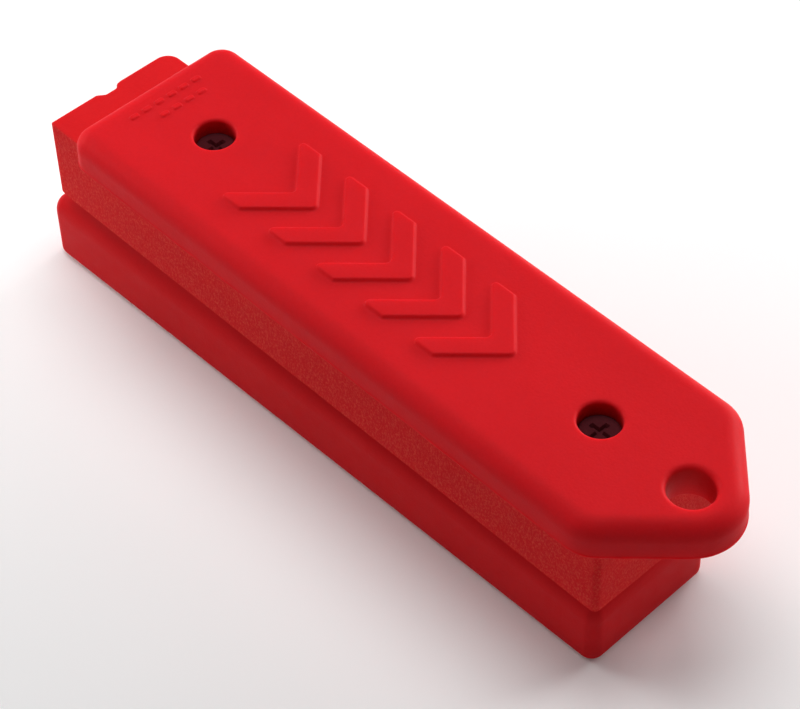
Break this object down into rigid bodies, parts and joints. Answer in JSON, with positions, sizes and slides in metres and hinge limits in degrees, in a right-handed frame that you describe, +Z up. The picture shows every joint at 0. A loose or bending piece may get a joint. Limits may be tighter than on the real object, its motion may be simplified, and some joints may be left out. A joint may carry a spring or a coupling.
{
  "type": "magnetic stud finder",
  "caption": "Hand-held magnetic stud finder with a pointed cap plate over a magnet tray, a hanging hole in the nose and a lift-off guard held on by the magnets.",
  "frame": {"origin": "centre of the bounding box at the level of the guard's underside", "axes": "+X along the length towards the pointed nose, +Z up through the cap, +Y to the left of the nose"},
  "size_m": [0.13, 0.031, 0.0354],
  "materials": {
    "cap_plastic": "smooth red moulding, slightly translucent, satin gloss",
    "tray_plastic": "red moulding with a fine grainy side face and a smooth top",
    "guard_plastic": "smooth red moulding, satin gloss",
    "magnet": "dark grey sintered ferrite",
    "zinc_steel": "thin zinc plating",
    "foam": "charcoal closed-cell foam",
    "black_screw": "brownish black oxide, dull"
  },
  "bodies": {
    "guard": {"guard_shell": "guard_plastic", "keeper_strip": "zinc_steel", "guard_base": "guard_plastic", "guard_screws": "black_screw"},
    "finder": {"top_cap": "cap_plastic", "magnet_tray": "tray_plastic", "rear_magnet": "magnet", "middle_magnet": "magnet", "front_magnet": "magnet", "back_plate": "zinc_steel", "packing_pad": "foam", "cap_screws": "black_screw"}
  },
  "joints": [
    {"name": "finder_lift", "type": "slide", "parent": "guard", "child": "finder", "axis": [0, 0, 1], "range_m": [0, 0.04]}
  ]
}
